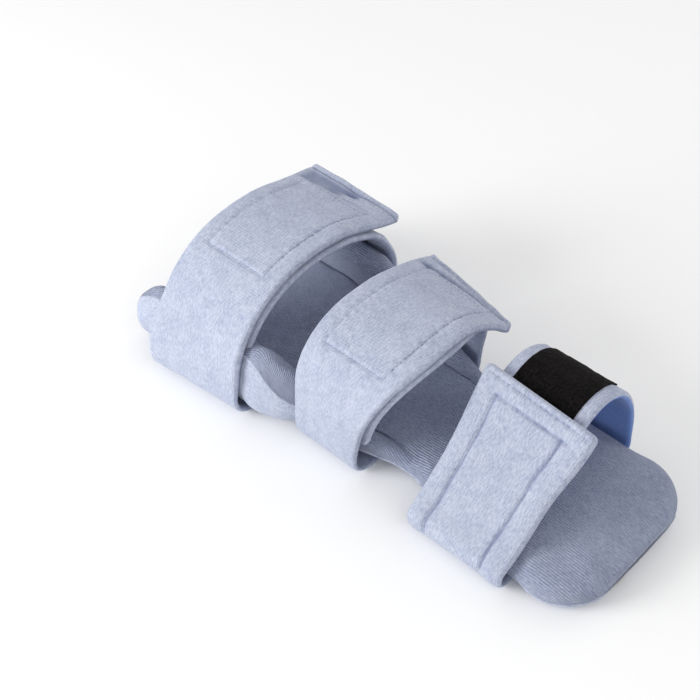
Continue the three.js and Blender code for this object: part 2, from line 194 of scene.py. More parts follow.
def pad(name, s, t, surface, furrow_shade_mask=None):
    """A closed pad from surface(s, t, side), side +1 on its face and -1 on its back; the mask gives its
    furrows painted shade.
    """
    grid_s, grid_t = np.meshgrid(s, t, indexing="ij")
    face = surface(grid_s, grid_t, 1)
    back = surface(grid_s, grid_t, -1)
    points = np.concatenate([face.reshape(-1, 3), back[1:-1, 1:-1].reshape(-1, 3)])
    flat = np.stack([grid_s, grid_t], axis=-1)
    cloth = np.concatenate([flat.reshape(-1, 2), flat[1:-1, 1:-1].reshape(-1, 2)])
    top, under = pad_faces(len(s), len(t))
    piece = make_mesh(name, points, np.concatenate([top, under]), cloth)
    index = np.zeros(len(top) + len(under), dtype=np.int32)
    index[len(top):] = 1
    piece.data.polygons.foreach_set("material_index", index)
    if furrow_shade_mask is not None:
        # painted shade: the mask is stored on each point for the knit materials to darken the furrows
        share = np.zeros(len(points), np.float32)
        share[:grid_s.size] = np.clip(furrow_shade_mask(grid_s, grid_t), 0, 1).ravel()
        piece.data.attributes.new("painted_furrow_shade", "FLOAT", "POINT").data.foreach_set("value", share)
    return piece


def waves(s, t, size, seed, count=8):
    """Soft unevenness from -1 to 1: plane waves in random directions, each about `size` long."""
    draw = np.random.default_rng(seed)
    angle = draw.uniform(0, 2 * np.pi, count)
    length = size * draw.uniform(0.7, 1.6, count)
    phase = draw.uniform(0, 2 * np.pi, count)
    along = s[..., None] * np.cos(angle) + t[..., None] * np.sin(angle)
    return np.sin(2 * np.pi * along / length + phase).sum(axis=-1) / count ** 0.5 / 1.5


def smooth(x, low, high):
    """0 below low, 1 above high, an S between."""
    share = np.clip((x - low) / (high - low), 0, 1)
    return share * share * (3 - 2 * share)


def groove(distance, width):
    """A rounded furrow, 1 deep on the line and fading over `width`."""
    return np.exp(-((distance / width) ** 2))


def to_box(s, t, low, high, radius):
    """Signed distance to a rounded rectangle's outline: negative inside."""
    centre, half = (np.array(low) + high) / 2, (np.array(high) - low) / 2 - radius
    out_s, out_t = np.abs(s - centre[0]) - half[0], np.abs(t - centre[1]) - half[1]
    outside = np.hypot(np.maximum(out_s, 0), np.maximum(out_t, 0))
    return outside + np.minimum(np.maximum(out_s, out_t), 0) - radius


print("rows on a 74 mm strap:", len(rows(74, 2.5, 1.2)))


# %% [markdown]
# ## A line for a strap to follow
# A strap's path is a few points in the plane across the splint. A Catmull-Rom curve runs smoothly
# through them, and equal steps along it give places and normals that a band can be hung on.

# %% Paths
def through(points, steps=24):
    """A Catmull-Rom curve: each stretch blends its two ends and their neighbours by a cubic."""
    p = np.array(points, float)
    p = np.concatenate([[2 * p[0] - p[1]], p, [2 * p[-1] - p[-2]]])
    u = np.linspace(0, 1, steps, endpoint=False)[None, :, None]
    a, b, c, d = (p[i:len(p) - 3 + i][:, None, :] for i in range(4))
    curve = 0.5 * (2 * b + (c - a) * u + (2 * a - 5 * b + 4 * c - d) * u ** 2
                   + (3 * b - a - 3 * c + d) * u ** 3)
    return np.concatenate([curve.reshape(-1, 2), p[-2:-1]])


def path(points):
    """Evenly spaced places on a line, half a millimetre apart, with the normal on its left."""
    points = np.array(points, float)
    gone = np.concatenate([[0], np.cumsum(np.hypot(*np.diff(points, axis=0).T))])
    s = np.linspace(0, gone[-1], int(gone[-1] * 2))
    y, z = np.interp(s, gone, points[:, 0]), np.interp(s, gone, points[:, 1])
    soft = np.hanning(17) / np.hanning(17).sum()

    def even(values):
        wide = np.pad(values, 8, mode="reflect", reflect_type="odd")
        return np.convolve(wide, soft, mode="valid")

    y, z = even(y), even(z)
    dy, dz = np.gradient(y), np.gradient(z)
    size = np.hypot(dy, dz)
    return {"s": s, "y": y, "z": z, "ny": -dz / size, "nz": dy / size, "length": s[-1]}


def on_path(line, s):
    """Place and normal at the distances s, as (y, z, ny, nz)."""
    return tuple(np.interp(s, line["s"], line[key]) for key in ("y", "z", "ny", "nz"))


def arc(centre, radius, start, stop, count=16):
    """Points of a round corner, from one angle in degrees to another."""
    angle = np.radians(np.linspace(start, stop, count))
    return np.stack([centre[0] + radius * np.cos(angle), centre[1] + radius * np.sin(angle)], axis=1)


# %% [markdown]
# ## Knit, pile and lining
# The outer fabric is a heather knit laminated on thin foam: pale blue-grey yarn with darker flecks.
# Its pattern follows the cloth's own flat map, so it bends with the fabric. The shared effects are
# node groups; each material puts them to its own colours.

# %% Node helpers
def add(tree, kind, **settings):
    """A node with its settings, and its unlinked inputs set by name."""
    node = tree.nodes.new(kind)
    for key, value in settings.pop("inputs", {}).items():
        node.inputs[key].default_value = value
    for key, value in settings.items():
        setattr(node, key, value)
    return node


def new_group(name, inputs, outputs):
    """An empty shader node group with named sockets; each socket is (name, kind, value)."""
    tree = bpy.data.node_groups.new(name, "ShaderNodeTree")
    for title, kind, value in inputs:
        socket = tree.interface.new_socket(title, in_out="INPUT", socket_type=kind)
        if value is not None:
            socket.default_value = value
    for title, kind in outputs:
        tree.interface.new_socket(title, in_out="OUTPUT", socket_type=kind)
    return tree, tree.nodes.new("NodeGroupInput"), tree.nodes.new("NodeGroupOutput")


def stretched(tree, vector, scale):
    """A vector scaled along each axis."""
    node = add(tree, "ShaderNodeVectorMath", operation="MULTIPLY")
    node.inputs[1].default_value = scale
    tree.links.new(vector, node.inputs[0])
    return node.outputs["Vector"]


def noise(tree, vector, scale, detail=2.0, rough=0.5):
    """Soft noise on a vector."""
    node = add(tree, "ShaderNodeTexNoise", inputs={"Scale": scale, "Detail": detail, "Roughness": rough})
    tree.links.new(vector, node.inputs["Vector"])
    return node.outputs["Fac"]


def span(tree, value, low, high, to_low=0.0, to_high=1.0):
    """A value mapped from one span to another and clamped."""
    node = add(tree, "ShaderNodeMapRange", inputs={
        "From Min": low, "From Max": high, "To Min": to_low, "To Max": to_high})
    tree.links.new(value, node.inputs["Value"])
    return node.outputs["Result"]


def feed(tree, node, values):
    """Links each value that is a socket to its input, and sets each one that is a number or colour."""
    for place, value in values.items():
        if isinstance(value, bpy.types.NodeSocket):
            tree.links.new(value, node.inputs[place])
        else:
            node.inputs[place].default_value = value


def mixed(tree, share, a, b):
    """Colour b over colour a by share; a and b are colours or sockets."""
    node = add(tree, "ShaderNodeMix", data_type="RGBA")
    feed(tree, node, {0: share, 6: a, 7: b})
    return node.outputs[2]


def combine(tree, kind, a, b):
    """A Math node on two values or sockets."""
    node = add(tree, "ShaderNodeMath", operation=kind)
    feed(tree, node, {0: a, 1: b})
    return node.outputs[0]


def srgb(r, g, b):
    """A screen colour from 0 to 255 as the linear colour that the shader wants."""
    c = np.array([r, g, b]) / 255
    linear = np.where(c <= 0.04045, c / 12.92, ((c + 0.055) / 1.055) ** 2.4)
    return (*linear.tolist(), 1.0)


# %% The heather and knit groups
def heather_group():
    """Yarn colours: short dashes along the knit's rows, wider mottling, and a few dark flecks."""
    tree, given, out = new_group(
        "heather yarn",
        [("Vector", "NodeSocketVector", None), ("Light", "NodeSocketColor", None),
         ("Dark", "NodeSocketColor", None), ("Fleck", "NodeSocketColor", None)],
        [("Color", "NodeSocketColor")])
    vector = given.outputs["Vector"]
    dashes = span(tree, noise(tree, stretched(tree, vector, (330, 1000, 900)), 1.0, 3.0, 0.6), 0.36, 0.64)
    mottle = span(tree, noise(tree, vector, 120.0, 3.0, 0.55), 0.35, 0.7)
    patches = span(tree, noise(tree, vector, 24.0, 2.0), 0.3, 0.7)
    share = combine(tree, "MULTIPLY", dashes, 0.5)
    share = combine(tree, "ADD", share, combine(tree, "MULTIPLY", mottle, 0.22))
    share = combine(tree, "ADD", share, combine(tree, "MULTIPLY", patches, 0.14))
    body = mixed(tree, share, given.outputs["Light"], given.outputs["Dark"])
    flecks = span(tree, noise(tree, stretched(tree, vector, (520, 1500, 1200)), 1.0, 1.0), 0.66, 0.74)
    tree.links.new(mixed(tree, combine(tree, "MULTIPLY", flecks, 0.55), body, given.outputs["Fleck"]),
                   out.inputs["Color"])
    return tree


def knit_group():
    """A knit's height: columns of loops across the cloth and rows along it, roughened by fuzz."""
    tree, given, out = new_group(
        "knit height",
        [("Vector", "NodeSocketVector", None), ("Column", "NodeSocketFloat", 1.0),
         ("Row", "NodeSocketFloat", 1.0), ("Fuzz", "NodeSocketFloat", 0.5),
         ("Ridge", "NodeSocketFloat", 0.13)],
        [("Height", "NodeSocketFloat")])
    parts = tree.nodes.new("ShaderNodeSeparateXYZ")
    tree.links.new(given.outputs["Vector"], parts.inputs[0])

    def ridges(place, pitch):
        turns = combine(tree, "MULTIPLY", place, pitch)
        return combine(tree, "SINE", combine(tree, "MULTIPLY", turns, 2 * math.pi), 0.0)

    columns = ridges(parts.outputs["Y"], given.outputs["Column"])
    loops = ridges(parts.outputs["X"], given.outputs["Row"])
    woven = combine(tree, "ADD", combine(tree, "MULTIPLY", columns, given.outputs["Ridge"]),
                    combine(tree, "MULTIPLY", loops, 0.08))
    fuzz = noise(tree, given.outputs["Vector"], 900.0, 4.0, 0.7)
    fuzz = combine(tree, "MULTIPLY", fuzz, given.outputs["Fuzz"])
    tree.links.new(combine(tree, "ADD", woven, fuzz), out.inputs["Height"])
    return tree


HEATHER, KNIT = heather_group(), knit_group()


# %% Materials
def base_material(name, roughness, sheen=0.0, tint=(1, 1, 1, 1), metallic=0.0, specular=0.3):
    """A new material with its shader's plain values set; returns material, tree and shader."""
    material = bpy.data.materials.new(name)
    material.use_nodes = True
    tree = material.node_tree
    shader = tree.nodes["Principled BSDF"]
    shader.inputs["Roughness"].default_value = roughness
    shader.inputs["Metallic"].default_value = metallic
    shader.inputs["Specular IOR Level"].default_value = specular
    shader.inputs["Sheen Weight"].default_value = sheen
    shader.inputs["Sheen Roughness"].default_value = 0.45
    shader.inputs["Sheen Tint"].default_value = tint
    return material, tree, shader


def flat_map(tree):
    """The piece's own flat cloth pattern, in metres."""
    return add(tree, "ShaderNodeUVMap", uv_map="cloth").outputs["UV"]


def place_group(tree, group, vector, **values):
    """A node group in a material, with its inputs set by name."""
    node = add(tree, "ShaderNodeGroup", node_tree=group)
    tree.links.new(vector, node.inputs["Vector"])
    for key, value in values.items():
        node.inputs[key].default_value = value
    return node


def bumped(tree, shader, height, distance):
    """Height to the shader's normal; distance is the relief's depth in metres."""
    bump = add(tree, "ShaderNodeBump", inputs={"Distance": distance})
    tree.links.new(height, bump.inputs["Height"])
    tree.links.new(bump.outputs["Normal"], shader.inputs["Normal"])


def cloth_material(name, light, dark, fleck, column, row, deep, sheen=0.25, fuzz=0.6, ridge=0.13):
    """A knit: heather colours with painted shade in the furrows, and its columns and rows as fine relief."""
    material, tree, shader = base_material(name, 0.92, sheen, (0.93, 0.95, 1, 1))
    vector = flat_map(tree)
    colours = place_group(tree, HEATHER, vector, Light=light, Dark=dark, Fleck=fleck)
    # painted shade: the furrow attribute mixes the yarn colour towards the fleck colour
    painted_furrow_shade = add(tree, "ShaderNodeAttribute", attribute_name="painted_furrow_shade").outputs["Fac"]
    shade = combine(tree, "MULTIPLY", painted_furrow_shade, 0.7)
    tree.links.new(mixed(tree, shade, colours.outputs["Color"], fleck), shader.inputs["Base Color"])
    height = place_group(tree, KNIT, vector, Column=column, Row=row, Fuzz=fuzz, Ridge=ridge)
    bumped(tree, shader, height.outputs["Height"], deep)
    return material


heather = cloth_material("heather knit", srgb(196, 202, 218), srgb(136, 146, 174), srgb(102, 114, 150),
                         750.0, 560.0, 0.0005)
rib = cloth_material("rib knit", srgb(178, 186, 208), srgb(120, 130, 162), srgb(90, 102, 140),
                     620.0, 900.0, 0.0008, fuzz=0.45, ridge=0.42)
inner_knit = cloth_material("inner knit", srgb(176, 183, 204), srgb(122, 132, 162), srgb(92, 103, 142),
                            750.0, 560.0, 0.0004)
lining = cloth_material("strap lining", srgb(120, 150, 208), srgb(96, 128, 196), srgb(80, 108, 172),
                        620.0, 620.0, 0.0003)


def pile_material(name, low, high, size, deep):
    """Matt black loops or hooks: a fine speckle of near-black with a little brown in it."""
    material, tree, shader = base_material(name, 0.97, 0.06, (0.5, 0.45, 0.42, 1), specular=0.08)
    vector = flat_map(tree)
    speckle = noise(tree, vector, size, 4.0, 0.75)
    cloud = noise(tree, vector, 60.0, 2.0)
    share = combine(tree, "MULTIPLY", span(tree, speckle, 0.4, 0.72), span(tree, cloud, 0.25, 0.75, 0.3, 1.0))
    tree.links.new(mixed(tree, share, low, high), shader.inputs["Base Color"])
    bumped(tree, shader, speckle, deep)
    return material


pile = pile_material("black pile", srgb(5, 5, 7), srgb(40, 35, 36), 520.0, 0.0012)
hooks = pile_material("black hooks", srgb(14, 14, 15), srgb(44, 42, 44), 900.0, 0.0007)


def thread_material():
    """Sewing thread: smooth, tone on tone, twisted."""
    material, tree, shader = base_material("thread", 0.6, 0.15)
    place = add(tree, "ShaderNodeTexCoord").outputs["Object"]
    twist = noise(tree, place, 2500.0, 2.0)
    tree.links.new(mixed(tree, twist, srgb(112, 122, 152), srgb(160, 168, 190)), shader.inputs["Base Color"])
    return material


thread = thread_material()


# %% [markdown]
# ## Straps
# A strap is one long padded band: sewn flat under the splint, up one side and over the top. A band is
# hung on a path, and its two edges are given along X. Its thickness is spread to both sides of the
# middle, the border is round, and `relief` raises or sinks the face where it is quilted.

# %% Strap surface
RIM = 2.6  # radius of a band's rounded border
GRAIN = 0.95  # spacing of a band's grid
LOWEST = 0.05  # a band's lowest point above the table


def band_surface(line, edges, thick, relief, corner, warp=None):
    """surface(s, t, side): out along the path's normal by half the thickness, plus the relief."""
    def surface(s, t, side):
        length, width = line["length"], edges["width"]
        near_rim = np.minimum(np.minimum(s, length - s), np.minimum(t, width - t))
        s2, t2 = round_corners(s, t, length, width, corner)
        half = np.interp(s2, *thick) / 2
        lift = rim_height(near_rim, RIM)
        y, z, ny, nz = on_path(line, s2)
        middle = -half
        height = middle + side * lift * (half + relief(s2, t2, side))
        low = np.interp(s2, edges["s"], edges["from"])
        high = np.interp(s2, edges["s"], edges["to"])
        x = low + (high - low) * t2 / width
        points = np.stack([x, y + ny * height, z + nz * height], axis=-1)
        if warp is not None:
            points = points + warp(s2, t2)
        points[..., 2] = np.maximum(points[..., 2], LOWEST)
        return points
    return surface


def band(name, line, edges, surface, materials, relief=None):
    """The closed band, with its face and its back in their own materials; its furrows get painted shade."""
    # painted shade: the deeper the face is sunk, the darker the knit is painted there
    furrow_shade_mask = relief and (lambda s, t: -relief(s, t, 1) / 1.6 - 0.25)
    piece = pad(name, rows(line["length"], RIM, GRAIN), rows(edges["width"], RIM, GRAIN), surface, furrow_shade_mask)
    for material in materials:
        piece.data.materials.append(material)
    return piece


def stitches(name, surface, runs, radius=0.24, length=2.3, pitch=3.3, lift=0.15):
    """Thread capsules along runs of (s, t): five rings of six points each, widest in the middle."""
    places, ends = [], []
    for run in runs:
        run = np.array(run, float)
        gone = np.concatenate([[0], np.cumsum(np.hypot(*np.diff(run, axis=0).T))])
        starts = np.arange(pitch / 2, gone[-1] - length, pitch)
        for store, at in ((places, starts), (ends, starts + length)):
            s, t = np.interp(at, gone, run[:, 0]), np.interp(at, gone, run[:, 1])
            store.append(np.stack([s, t], axis=1))
    a, b = np.concatenate(places), np.concatenate(ends)
    start = surface(a[:, 0], a[:, 1], 1)
    stop = surface(b[:, 0], b[:, 1], 1)
    beside = surface(a[:, 0] + 0.4, a[:, 1], 1) - start
    across = surface(a[:, 0], a[:, 1] + 0.4, 1) - start
    up = np.cross(beside, across)
    up *= -1 / np.linalg.norm(up, axis=1, keepdims=True)
    along = (stop - start) / np.linalg.norm(stop - start, axis=1, keepdims=True)
    flank = np.cross(along, up)
    share = np.array([0.0, 0.12, 0.5, 0.88, 1.0])
    girth = np.array([0.05, 0.75, 1.0, 0.75, 0.05]) * radius
    turn = np.linspace(0, 2 * np.pi, 6, endpoint=False)
    ring = (np.cos(turn)[None, None, :, None] * flank[:, None, None, :]
            + np.sin(turn)[None, None, :, None] * up[:, None, None, :])
    bow = lift - radius * 1.6 * (np.abs(share - 0.5) * 2) ** 3
    core = start[:, None] + (stop - start)[:, None] * share[None, :, None] + up[:, None] * bow[None, :, None]
    points = core[:, :, None] + ring * girth[None, :, None, None]
    count = len(points)
    index = np.arange(count * 30).reshape(count, 5, 6)
    right = np.roll(index, -1, axis=2)
    faces = np.stack([index[:, :-1], right[:, :-1], right[:, 1:], index[:, 1:]], axis=-1).reshape(-1, 4)
    piece = make_mesh(name, points.reshape(-1, 3), faces)
    caps_and_outward(piece)
    piece.data.materials.append(thread)
    return piece


def caps_and_outward(piece):
    """Closes the small open ends of a mesh and turns all its faces outwards."""
    work = bmesh.new()
    work.from_mesh(piece.data)
    bmesh.ops.holes_fill(work, edges=[e for e in work.edges if e.is_boundary], sides=0)
    bmesh.ops.recalc_face_normals(work, faces=work.faces)
    work.to_mesh(piece.data)
    work.free()


# %% [markdown]
# ## The arched straps
# The forearm and wrist straps stand in an arch. The near flap's outer line is a superellipse from the
# thumb side over the crown, and its free end stands off as a wing. The far flap runs just inside it.
# A circle would be too round: a superellipse has the squarer shoulders of a padded strap over an arm.

# %% Strap proportions
STRAPS = {
    "forearm": {
        "root": 18.0, "crown": 2.2, "spring": 18.0, "square": 2.2,
        "wing": [(38, 91.5), (55, 87.6), (71, 84.6)],
        "far_bottom": 50, "far_leaves": 38, "shoulder": [(53, 75.5), (66, 61), (74, 43)],
    },
    "wrist": {
        "root": 15.5, "crown": -5.8, "spring": 41.5, "square": 2.4,
        "wing": [(22, 87.6), (40, 79.6), (58, 68.6)],
        "far_bottom": 25, "far_leaves": 21, "shoulder": [(37, 73), (50, 60), (57.5, 43), (59, 28)],
    },
}
UNDER = 3.0  # thickness where the band is sewn flat under the splint
NEAR, FAR = 5.9, 4.8  # thickness of the flaps
STEP_DOWN = 7.7  # from the near flap's face to the far flap's
OVERLAP = 1.5  # how far the two bands run past each other under the splint
WIDENS = 0.55  # share of the arch over which a band widens to its flap's width


def joint_point(name):
    """A joint's place in millimetres."""
    joint = next(j for j in frame["joints"] if j["name"] == name)
    return np.array(joint["pos_m"]) / MM


def arch(strap, near, crown_z):
    """Superellipse points from the near spring over the crown."""
    angle = np.radians(np.linspace(0, 100, 9))
    power = 2 / strap["square"]
    out = (strap["crown"] - near) * np.abs(np.cos(angle)) ** power
    y = strap["crown"] - np.sign(np.cos(angle)) * out
    z = strap["spring"] + (crown_z - strap["spring"]) * np.sin(angle) ** power
    return np.stack([y, z], axis=1)


def near_arch(name):
    """The near flap's outer line above its hinge, in the splint's own half-width coordinates."""
    strap = STRAPS[name]
    near = joint_point(f"{name}_strap_open")[1] - MIDDLE
    points = arch(strap, near, box_mm(f"{name}_near_flap")[1][2])
    points = np.concatenate([points, strap["wing"]])
    if strap["spring"] > strap["root"]:
        points = np.concatenate([[(near, strap["root"])], points])
    return through(points), near


def sewn_start(near, root):
    """From just past the middle of the underside, flat, then up round the near corner."""
    start = np.linspace((-OVERLAP, 0), (near + root, 0), 40, endpoint=False)
    return np.concatenate([start, arc((near + root, root), root, 270, 180)])


def sewn_finish(far, root):
    """Down round the far corner, then flat to just past the middle of the underside."""
    finish = np.linspace((far - root, 0), (OVERLAP, 0), 40)[1:]
    return np.concatenate([arc((far - root, root), root, 0, -90)[1:], finish])


def near_path(name):
    """From the middle of the underside, round the near corner, and over the arch to the free end."""
    line, near = near_arch(name)
    root = STRAPS[name]["root"]
    return path(np.concatenate([sewn_start(near, root), line[line[:, 1] > root + 0.5]]) + (MIDDLE, 0))


def far_path(name):
    """From the free end under the near flap, over the far shoulder and back under the splint."""
    strap = STRAPS[name]
    line, _ = near_arch(name)
    inner = path(line)
    y, z = inner["y"] - STEP_DOWN * inner["ny"], inner["z"] - STEP_DOWN * inner["nz"]
    keep = (inner["y"] < strap["far_leaves"]) & (inner["z"] > strap["far_bottom"])
    far = joint_point(f"{name}_far_open")[1] - MIDDLE
    root = strap["root"]
    shared = np.stack([y[keep], z[keep]], axis=1)[::12]
    over = through(np.concatenate([shared, strap["shoulder"], [(far, root)]]))
    return path(np.concatenate([over, sewn_finish(far, root)]) + (MIDDLE, 0))


def hinge_place(line, root, flip):
    """How far along its path a band is at the height root; flip looks in the path's second half."""
    half = (line["s"] > line["length"] / 2) if flip else (line["s"] < line["length"] / 2)
    order = np.argsort(line["z"][half], kind="stable")
    return np.interp(root, line["z"][half][order], line["s"][half][order])


def flap_edges(name, line, part, flip=False):
    """The band's two edges in X: its root's, widening to the flap's over half of the arch.

    Under the near band, the far band's hand-side edge goes at most 1.5 mm past the near band's own,
    taken 4 mm higher up, so that its corner never shows.
    """
    base_low, base_high = box_mm(f"{name}_strap_base")
    low, high = box_mm(f"{name}_{part}_flap")
    at = line["s"]
    hinge = hinge_place(line, STRAPS[name]["root"], flip)
    gone = (hinge - at) / hinge if flip else (at - hinge) / (line["length"] - hinge)
    share = smooth(gone, 0, WIDENS)
    hand_side = base_high[0] + (high[0] - base_high[0]) * share
    if flip:
        near = near_path(name)
        outer = flap_edges(name, near, "near")
        rising = (near["s"] > outer["hinge"]) & (near["s"] < near["s"][np.argmax(near["z"])])
        own_near_side = line["y"] < near["y"][np.argmax(near["z"])]
        limit = np.interp(line["z"] + 4, near["z"][rising], outer["to"][rising]) + 1.5
        hand_side = np.where(own_near_side, np.minimum(hand_side, limit), hand_side)
    return {
        "s": at, "width": high[0] - low[0], "hinge": hinge,
        "from": base_low[0] + (low[0] - base_low[0]) * share, "to": hand_side,
    }


lines = {name: {"near": near_path(name), "far": far_path(name)} for name in STRAPS}
for name in STRAPS:
    print(name, "near band", round(lines[name]["near"]["length"]), "mm, far band",
          round(lines[name]["far"]["length"]), "mm")


# %% [markdown]
# ## Quilting
# A stitched line pulls the padded face down in a furrow and leaves it a little puffed on both sides.
# A bump map could draw that, but it would vanish at the outline and from the exported shape, so the
# furrows are part of the surface. The hook patch's outline shows through the near flap that way, with
# a raised lip at its start. Past it the forearm flap sinks in a recess with a small pocket, and the
# wrist flap in a channel. A furrow near the free end makes the hem.

# %% Near flaps
PATCH_SHARE = {"forearm": (0.44, 0.88), "wrist": (0.385, 0.89)}
SLANT = {"forearm": 8.0, "wrist": 10.5}  # how much further the patch reaches at the hand-side edge
EDGE_ROOM = 12.5  # from a band's edges to its patch
HEM = 5.4  # from the free end to the hem's furrow


def patch_place(line, edges, share):
    """The patch's rectangle on the band, as (s, t) corners."""
    run = line["length"] - edges["hinge"]
    low = (edges["hinge"] + share[0] * run, EDGE_ROOM)
    high = (edges["hinge"] + share[1] * run, edges["width"] - EDGE_ROOM)
    return low, high


def near_relief(name, line, edges, seed):
    """Quilted face: patch outline with a lip at its start, hem, the channel before the hem, slow waves."""
    low, high = patch_place(line, edges, PATCH_SHARE[name])
    end, width = line["length"], edges["width"]

    def relief(s, t, side):
        if side < 0:
            return 0.25 * waves(s, t, 24, seed + 5)
        slant = SLANT[name] * (t / width) * smooth(s, low[0], high[0])
        outline = to_box(s - slant, t, low, high, 1.5)
        wide = np.abs(outline)
        start = groove(s - low[0], 5)
        shape = 0.55 * smooth(-outline, -0.6, 1.4) - (0.65 + 0.2 * start) * groove(outline - 0.5, 0.95)
        shape += 0.3 * groove(outline - 4.4, 3.2) + 0.4 * start * groove(outline + 2.2, 1.6)
        shape += 0.3 * waves(s, t, 5, seed) * groove(wide, 6)
        shape += 0.24 * waves(s, t, 15, seed + 1) + 0.34 * waves(s, t, 42, seed + 2)
        hem = end - s
        shape -= 2.0 * groove(hem - HEM, 1.0)
        shape += 0.8 * groove(hem - 2.4, 2.2)
        across = t / width
        past = s - slant - high[0]
        between = smooth(t, 2, 9) * smooth(width - t, 3, 10)
        if name == "forearm":
            recess = smooth(np.minimum(past - 1, hem - HEM - 1), -0.5, 2.5)
            shape -= 2.0 * recess * smooth(t, 1, 8) * (1 - smooth(across, 0.42, 0.6))
            shape -= 3.6 * groove(hem - 9.5, 2.6) * groove(t - 0.55 * width, 5)
            shape += 1.0 * groove(hem - 9, 4) * groove(across - 0.8, 0.16)
        else:
            shape -= 3.4 * groove(past - 2.6, 2.3) * between
            shape += 0.7 * smooth(np.minimum(past - 4.5, hem - 6.5), -1, 3) * between
        return shape
    return relief


def near_warp(line, edges, lift, pull, bulge):
    """The free end's corners moved by lift and pull, at t = 0 and t = width; the low heel edge bulges."""
    end, width = line["length"], edges["width"]

    def warp(s, t):
        weight = smooth(s, end - 56, end) ** 1.3
        across = t / width
        up = (lift[0] * (1 - across) + lift[1] * across ** 1.6) * weight
        along = (pull[0] * (1 - across) + pull[1] * across) * weight
        y, z, ny, nz = on_path(line, s)
        out = bulge * (1 - across) ** 1.2 * smooth(MIDDLE - y, 45, 72) * (1 - smooth(z, 34, 62))
        return np.stack([np.zeros_like(s), ny * up + nz * along - out, nz * up - ny * along], axis=-1)
    return warp


def thickness(line, edges, flap, flip=False):
    """Thin under the splint, full on the flap."""
    at, hinge = line["s"], edges["hinge"]
    gone = (hinge - at) if flip else (at - hinge)
    return at, UNDER + (flap - UNDER) * smooth(gone, -14, 18)


def hinge_blend(piece):
    """Bakes the band's placement into its points."""
    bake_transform(piece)


# for each strap: the free end's lift and pull at its two corners, and the bulge of its low heel edge
WARPS = {"forearm": ((2.0, -5.5), (0.0, 6.0), 7.0), "wrist": ((7.0, -6.0), (3.0, -1.0), 0.0)}
surfaces = {}
for number, name in enumerate(STRAPS):
    line = lines[name]["near"]
    edges = flap_edges(name, line, "near")
    relief = near_relief(name, line, edges, 10 * number + 1)
    surface = band_surface(line, edges, thickness(line, edges, NEAR), relief, 4,
                           near_warp(line, edges, *WARPS[name]))
    surfaces[name, "near"] = (line, edges, surface)
    piece = band(f"{name}_near_band", line, edges, surface, (heather, inner_knit), relief)
    hinge_blend(piece)
    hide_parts(f"{name}_near_flap", f"{name}_strap_base")
    print(piece.name, len(piece.data.polygons), "faces")


# %% Far flaps
def far_relief(seed):
    """Slow waves and smaller ones on both faces."""
    def relief(s, t, side):
        return 0.25 * waves(s, t, 22, seed) + 0.15 * waves(s, t, 7, seed + 1)
    return relief


for number, name in enumerate(STRAPS):
    line = lines[name]["far"]
    edges = flap_edges(name, line, "far", flip=True)
    surface = band_surface(line, edges, thickness(line, edges, FAR, flip=True), far_relief(50 + number), 7)
    surfaces[name, "far"] = (line, edges, surface)
    piece = band(f"{name}_far_band", line, edges, surface, (heather, inner_knit))
    hinge_blend(piece)
    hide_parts(f"{name}_far_flap")


# %% [markdown]
# ## The strap over the fingers
# This strap's near flap is almost flat and leans across the fingers. Two quilting lines run along it,
# and its free end is closed by two rows of stitches. The far flap folds over its shoulder. Both are
# bands on a path like the others, with edges that run straight instead of widening.

# %% Finger strap
HAND_NEAR = [(-70.2, 12), (-69.9, 16.5), (-66, 21), (-56, 28.5), (-30, 52.8), (2, 84.8)]
HAND_FAR = [(-41, 30.5), (-20, 51.5), (0, 71), (11, 79), (24, 81.5),
            (38, 78), (50, 69), (60, 54), (66, 36), (69, 12)]
HAND_ROOT = 12.0  # height of its hinges, and the radius of the corner under them
HAND_THICK = 7.0
QUILT_LINES = (13.5, 14.5)  # from the heel-side and the fingertip-side edge
END_ROWS = (4.2, 13.5)  # stitch rows, from the free end


def hand_near_path():
    """Under the pan, round the near corner, then up the slope to the free end."""
    start = sewn_start(HAND_NEAR[0][0], HAND_ROOT)[:-1]
    return path(np.concatenate([start, through(HAND_NEAR)]) + (MIDDLE, 0))


def hand_far_path():
    """From the free end, over the shoulder and back under the pan."""
    finish = sewn_finish(HAND_FAR[-1][0], HAND_ROOT)
    return path(np.concatenate([through(HAND_FAR), finish]) + (MIDDLE, 0))


def straight_edges(line, part, trim, flip=False):
    """The finger strap's edges run straight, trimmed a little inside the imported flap."""
    low, high = box_mm(f"hand_{part}_flap")
    at = line["s"]
    return {"s": at, "width": high[0] - low[0] - sum(trim), "hinge": hinge_place(line, HAND_ROOT, flip),
            "from": np.full_like(at, low[0] + trim[0]), "to": np.full_like(at, high[0] - trim[1])}


def hand_near_relief(line, edges):
    """Two long quilting lines, two rows of end stitches with puckers, and slow waves."""
    end, width = line["length"], edges["width"]

    def relief(s, t, side):
        if side < 0:
            return 0.25 * waves(s, t, 24, 77)
        on_slope = smooth(s, edges["hinge"] - 8, edges["hinge"] + 4)
        shape = 0.2 * waves(s, t, 16, 71) + 0.28 * waves(s, t, 45, 72)
        for at in (QUILT_LINES[0], width - QUILT_LINES[1]):
            line_off = t - at - 0.5 * waves(s, t, 30, 73)
            shape -= 1.8 * groove(line_off, 1.0) * on_slope * smooth(end - s, 10, 16)
        shape += 0.8 * groove(t - 6.5, 4.5) + 0.8 * groove(width - t - 7, 4.5)
        hem = end - s
        pucker = 0.45 * waves(s, t, 4.6, 74)
        for at, deep in zip(END_ROWS, (1.0, 1.5)):
            shape -= deep * groove(hem - at, 0.8) * smooth(t, 4, 12) * smooth(width - t, 4, 12)
            shape += pucker * groove(hem - at, 3.2)
        shape += 0.45 * groove(hem - 8.6, 3.0)
        return shape
    return relief


